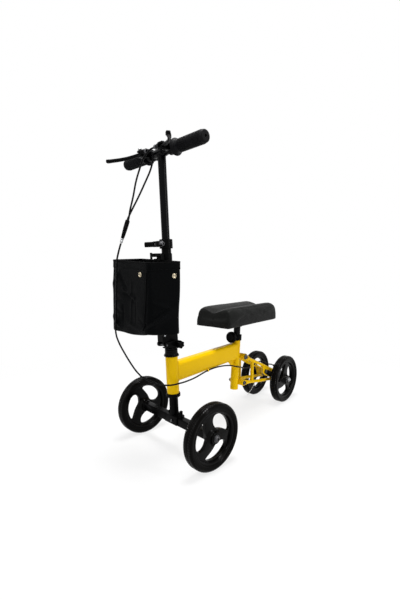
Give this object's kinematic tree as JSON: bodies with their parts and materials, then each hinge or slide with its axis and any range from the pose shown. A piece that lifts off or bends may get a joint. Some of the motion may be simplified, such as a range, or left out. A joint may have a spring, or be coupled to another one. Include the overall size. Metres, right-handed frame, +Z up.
{
  "type": "knee walker",
  "caption": "Steerable knee walker with a padded knee rest, handlebar with two brake levers, folding column and a front bag.",
  "frame": {"origin": "on the floor, in the middle of the walker's box", "axes": "+Z up, +X to the rider's left, +Y to the rear"},
  "size_m": [0.3856, 0.8463, 0.9084],
  "materials": {
    "yellow_paint": "gloss",
    "black_paint": "satin",
    "black_plastic": "satin",
    "gloss_rim": "gloss",
    "tyre": "satin",
    "grip_rubber": "matte",
    "bag_nylon": "woven matte",
    "pad_vinyl": "matte grained",
    "bright_steel": "satin",
    "dark_steel": "satin",
    "brass": "satin"
  },
  "bodies": {
    "frame": {"main_frame": "yellow_paint", "headset_lower_cup": "black_paint", "seat_collar": "black_plastic", "rear_fork_left": "yellow_paint", "rear_fork_right": "yellow_paint", "fork_bolt_upper": "black_paint", "fork_bolt_lower": "black_paint", "rear_axle": "bright_steel", "rear_axle_nut": "bright_steel", "brake_plate": "black_paint", "brake_anchor_bolt": "black_paint", "brake_cable_rear": "black_plastic", "cable_clip": "black_plastic"},
    "steering": {"steerer": "black_paint", "front_axle_beam": "black_paint", "front_axle_left": "dark_steel", "front_axle_right": "dark_steel", "saddle_bolt": "black_paint", "headset_cover": "black_plastic", "fold_stop_pin": "bright_steel", "fold_pivot_bolt": "dark_steel", "brake_cable_lower": "black_plastic"},
    "mast_body": {"mast": "black_paint", "clamp_collar": "black_paint", "clamp_skewer": "dark_steel", "bag_bracket": "black_plastic", "bag": "bag_nylon", "bag_snap_front": "brass", "bag_snap_side": "brass", "brake_cable_middle": "black_plastic"},
    "stem": {"handlebar": "black_paint", "grip_left": "grip_rubber", "grip_right": "grip_rubber", "brake_perch_left": "black_plastic", "brake_perch_right": "black_plastic", "cable_junction": "black_plastic", "brake_cable_left": "black_plastic", "brake_cable_right": "black_plastic"},
    "seat": {"seat_post": "black_paint", "pad_plate": "black_paint", "knee_pad": "pad_vinyl"},
    "lever_left": {"brake_lever_left": "black_paint"},
    "lever_right": {"brake_lever_right": "black_paint"},
    "parking_button": {"park_button": "bright_steel"},
    "quick_release": {"clamp_lever": "black_paint"},
    "hinge_knob": {"fold_knob": "black_plastic"},
    "post_knob": {"seat_knob": "black_plastic"},
    "drum_arm": {"brake_arm": "dark_steel"},
    "wheel_front_left": {"rim_front_left": "gloss_rim", "tyre_front_left": "tyre"},
    "wheel_front_right": {"rim_front_right": "gloss_rim", "tyre_front_right": "tyre"},
    "wheel_rear_left": {"rim_rear_left": "gloss_rim", "tyre_rear_left": "tyre", "brake_drum": "dark_steel"},
    "wheel_rear_right": {"rim_rear_right": "gloss_rim", "tyre_rear_right": "tyre"}
  },
  "joints": [
    {"name": "steering_turn", "type": "hinge", "parent": "frame", "child": "steering", "pos_m": [0, -0.273, 0.09914], "axis": [0, -0.0429, 0.9991], "range_deg": [-38.8, 51.2], "deforming": ["brake_cable_lower", "brake_cable_rear"]},
    {"name": "column_fold", "type": "hinge", "parent": "steering", "child": "mast_body", "pos_m": [0.00119, -0.27261, 0.34489], "axis": [-0.9942, 0.1079, 0.0046], "range_deg": [0, 60], "deforming": ["brake_cable_middle", "brake_cable_lower"]},
    {"name": "handlebar_height", "type": "slide", "parent": "mast_body", "child": "stem", "axis": [0, -0.0429, 0.9991], "range_m": [-0.09, 0.09], "deforming": ["cable_junction", "brake_cable_left", "brake_cable_right", "brake_cable_middle"]},
    {"name": "seat_height", "type": "slide", "parent": "frame", "child": "seat", "axis": [0, -0.0663, -0.9978], "range_m": [-0.095, 0.028]},
    {"name": "lever_left_squeeze", "type": "hinge", "parent": "stem", "child": "lever_left", "pos_m": [0.04415, -0.34472, 0.88349], "axis": [0, -0.0429, 0.9991], "range_deg": [0, 22], "stiffness_Nm_per_rad": 0.6},
    {"name": "lever_right_squeeze", "type": "hinge", "parent": "stem", "child": "lever_right", "pos_m": [-0.05128, -0.33436, 0.88393], "axis": [0, 0.0429, -0.9991], "range_deg": [0, 22], "stiffness_Nm_per_rad": 0.6},
    {"name": "park_button_press", "type": "slide", "parent": "stem", "child": "parking_button", "axis": [0, 0.0429, -0.9991], "range_m": [0, 0.0045], "stiffness_N_per_m": 300},
    {"name": "clamp_lever_open", "type": "hinge", "parent": "mast_body", "child": "quick_release", "pos_m": [-0.02084, -0.31858, 0.63868], "axis": [0, -0.0429, 0.9991], "range_deg": [0, 110]},
    {"name": "fold_knob_turn", "type": "hinge", "parent": "steering", "child": "hinge_knob", "pos_m": [0.00119, -0.27261, 0.34489], "axis": [0.9942, -0.1079, -0.0046], "range_deg": [0, 720]},
    {"name": "seat_knob_turn", "type": "hinge", "parent": "frame", "child": "post_knob", "pos_m": [0, 0.0369, 0.31513], "axis": [0, -0.9978, 0.0663], "range_deg": [0, 720]},
    {"name": "wheel_front_left_spin", "type": "hinge", "parent": "steering", "child": "wheel_front_left", "pos_m": [0.16652, -0.29109, 0.09914], "axis": [0.9942, -0.108, 0], "continuous": true},
    {"name": "wheel_front_right_spin", "type": "hinge", "parent": "steering", "child": "wheel_front_right", "pos_m": [-0.16652, -0.25491, 0.09914], "axis": [0.9942, -0.108, 0], "continuous": true},
    {"name": "wheel_rear_left_spin", "type": "hinge", "parent": "frame", "child": "wheel_rear_left", "pos_m": [0.071, 0.324, 0.09914], "axis": [1, 0, 0], "continuous": true},
    {"name": "wheel_rear_right_spin", "type": "hinge", "parent": "frame", "child": "wheel_rear_right", "pos_m": [-0.071, 0.324, 0.09914], "axis": [1, 0, 0], "continuous": true},
    {"name": "brake_arm_turn", "type": "hinge", "parent": "frame", "child": "drum_arm", "pos_m": [0, 0.307, 0.14314], "axis": [1, 0, 0], "range_deg": [0, 18], "stiffness_Nm_per_rad": 0.3, "deforming": ["brake_cable_rear"]}
  ],
  "couplings": [
    {"joint": "brake_arm_turn", "follows": "lever_right_squeeze", "ratio": 0.8}
  ]
}
